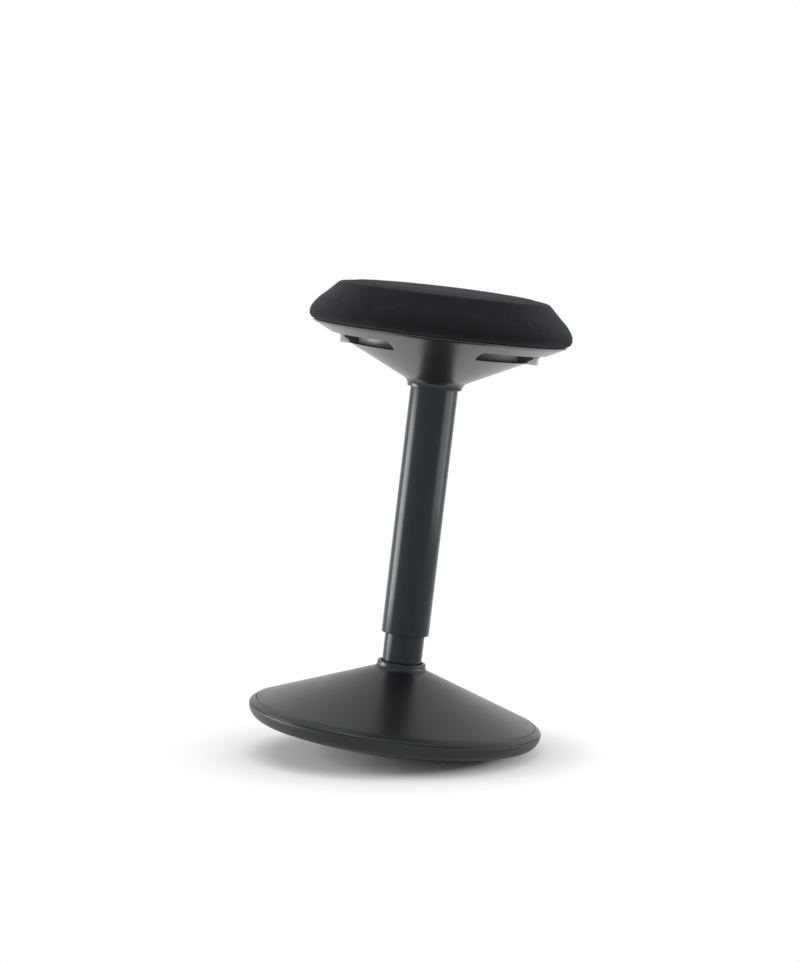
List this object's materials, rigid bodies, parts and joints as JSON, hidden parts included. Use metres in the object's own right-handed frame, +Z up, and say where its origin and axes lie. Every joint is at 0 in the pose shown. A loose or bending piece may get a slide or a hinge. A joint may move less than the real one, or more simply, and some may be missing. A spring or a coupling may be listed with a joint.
{
  "type": "wobble stool",
  "caption": "Height-adjustable wobble stool with a soft three-sided seat, a gas-lift column and a domed, weighted base that rolls and rights itself.",
  "frame": {"origin": "centre of the flat spot at the bottom of the rubber sole, on the floor, with the stool upright at its lowest height", "axes": "+Z up along the column; +Y towards the seat's rear corner; -Y towards the middle of the front bowed side"},
  "size_m": [0.372, 0.372, 0.5855],
  "materials": {
    "rubber": "matte, fine grain",
    "charcoal": "satin moulded plastic",
    "tube": "satin powder coat, dark blue-grey",
    "steel": "zinc-plated or ground steel",
    "iron": "dark cast iron, lightly rough",
    "nylon": "black nylon, semi-gloss",
    "off_white": "off-white moulded plastic",
    "wood": "raw plywood",
    "foam": "open-cell foam",
    "knit": "tight black spacer knit"
  },
  "bodies": {
    "base": {"rubber_sole": "rubber", "base_pan": "nylon", "ballast_ring": "iron", "base_cover": "charcoal", "column_hub": "iron", "hub_bolt_1": "steel", "hub_bolt_2": "steel", "hub_bolt_3": "steel", "ballast_bolt_1": "steel", "ballast_bolt_2": "steel", "ballast_bolt_3": "steel", "column_tube": "tube", "guide_bush": "nylon", "lower_race": "steel", "ball_cage": "steel"},
    "rod": {"upper_race": "steel", "piston_rod": "steel", "piston": "nylon", "retaining_clip": "steel"},
    "seat": {"gas_cylinder": "steel", "outer_tube": "tube", "glide_ring": "nylon", "seat_frame": "iron", "seat_shell": "charcoal", "seat_board": "wood", "foam_pad": "foam", "fabric_cover": "knit", "grip_liner_1": "nylon", "lever_pivot_1": "steel", "shell_clip_1": "steel", "board_bolt_1": "steel", "grip_liner_2": "nylon", "lever_pivot_2": "steel", "shell_clip_2": "steel", "board_bolt_2": "steel", "grip_liner_3": "nylon", "lever_pivot_3": "steel", "shell_clip_3": "steel", "board_bolt_3": "steel"},
    "lever_1": {"release_lever_1": "nylon", "lever_paddle_1": "off_white"},
    "lever_2": {"release_lever_2": "nylon", "lever_paddle_2": "off_white"},
    "lever_3": {"release_lever_3": "nylon", "lever_paddle_3": "off_white"},
    "valve": {"valve_pin": "steel", "plunger_cap": "nylon"}
  },
  "joints": [
    {"name": "seat_swivel", "type": "hinge", "parent": "base", "child": "rod", "pos_m": [0, 0, 0.0274], "axis": [0, 0, 1], "continuous": true},
    {"name": "height_adjust", "type": "slide", "parent": "rod", "child": "seat", "axis": [0, 0, 1], "range_m": [0, 0.25]},
    {"name": "release_1", "type": "hinge", "parent": "seat", "child": "lever_1", "pos_m": [0, 0.06, 0.5], "axis": [1, 0, 0], "range_deg": [0, 2], "stiffness_Nm_per_rad": 2, "springref_deg": -1.15},
    {"name": "release_2", "type": "hinge", "parent": "seat", "child": "lever_2", "pos_m": [-0.06, 0, 0.5], "axis": [0, 1, 0], "range_deg": [0, 2]},
    {"name": "release_3", "type": "hinge", "parent": "seat", "child": "lever_3", "pos_m": [0.06, 0, 0.5], "axis": [0, -1, 0], "range_deg": [0, 2]},
    {"name": "valve_press", "type": "slide", "parent": "seat", "child": "valve", "axis": [0, 0, -1], "range_m": [0, 0.0018]}
  ],
  "couplings": [
    {"joint": "release_2", "follows": "release_1", "ratio": 1},
    {"joint": "release_3", "follows": "release_1", "ratio": 1},
    {"joint": "valve_press", "follows": "release_1", "m_per_rad": 0.05}
  ]
}
